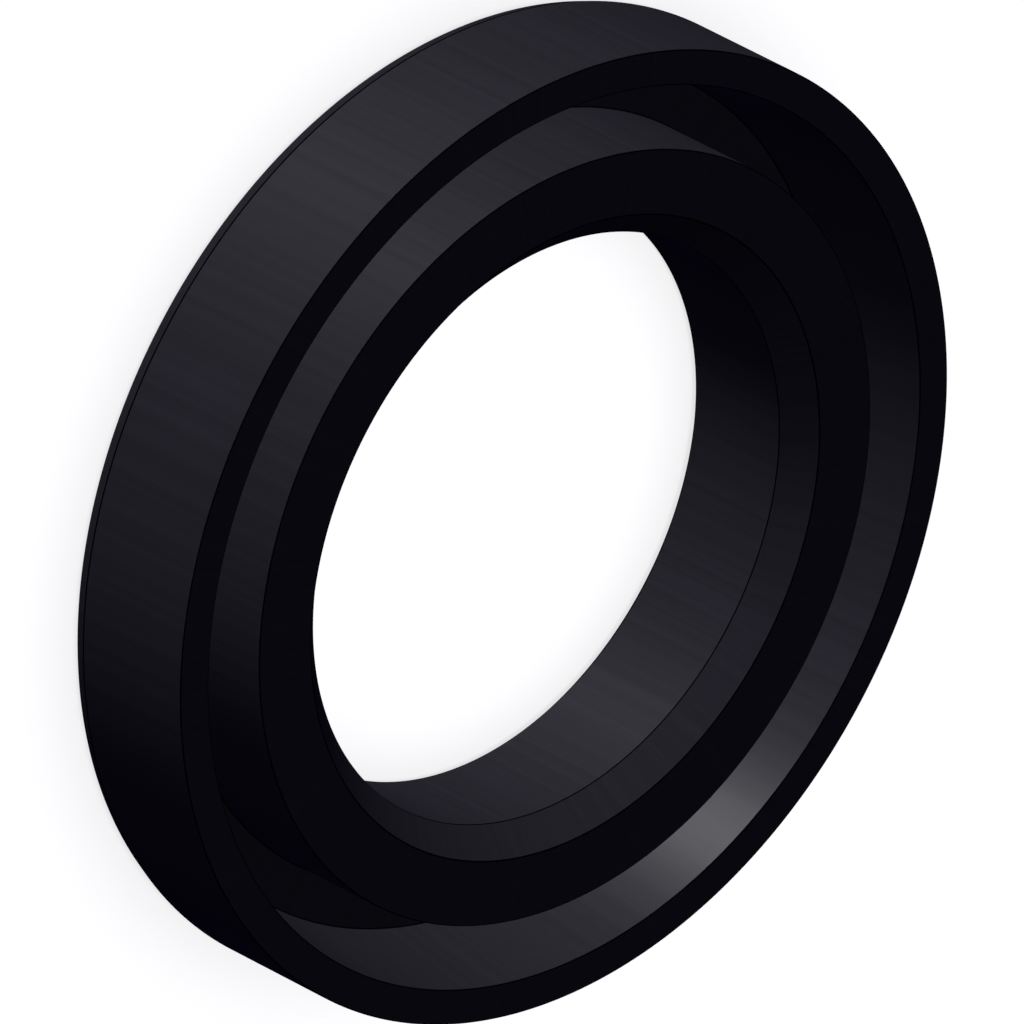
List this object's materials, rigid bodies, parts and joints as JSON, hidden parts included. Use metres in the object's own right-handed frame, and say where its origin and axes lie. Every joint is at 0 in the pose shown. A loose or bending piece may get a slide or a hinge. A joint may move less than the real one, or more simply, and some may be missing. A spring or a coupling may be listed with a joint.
{
  "type": "shaft seal",
  "caption": "Round one-piece rubber shaft seal: thick bored hub and thin outer rim joined by a web at the back, with an open ring groove between them and chamfered bore and rim edges.",
  "frame": {"origin": "centre of the seal's flat back face, on which it lies", "axes": "+Z along the shaft axis, out of the open groove side; X and Y are any two radial directions"},
  "size_m": [0.065, 0.065, 0.01],
  "materials": {
    "black_rubber": "smooth moulded nitrile rubber, black with a satin sheen"
  },
  "bodies": {
    "root": {"seal_ring": "black_rubber"}
  },
  "joints": []
}
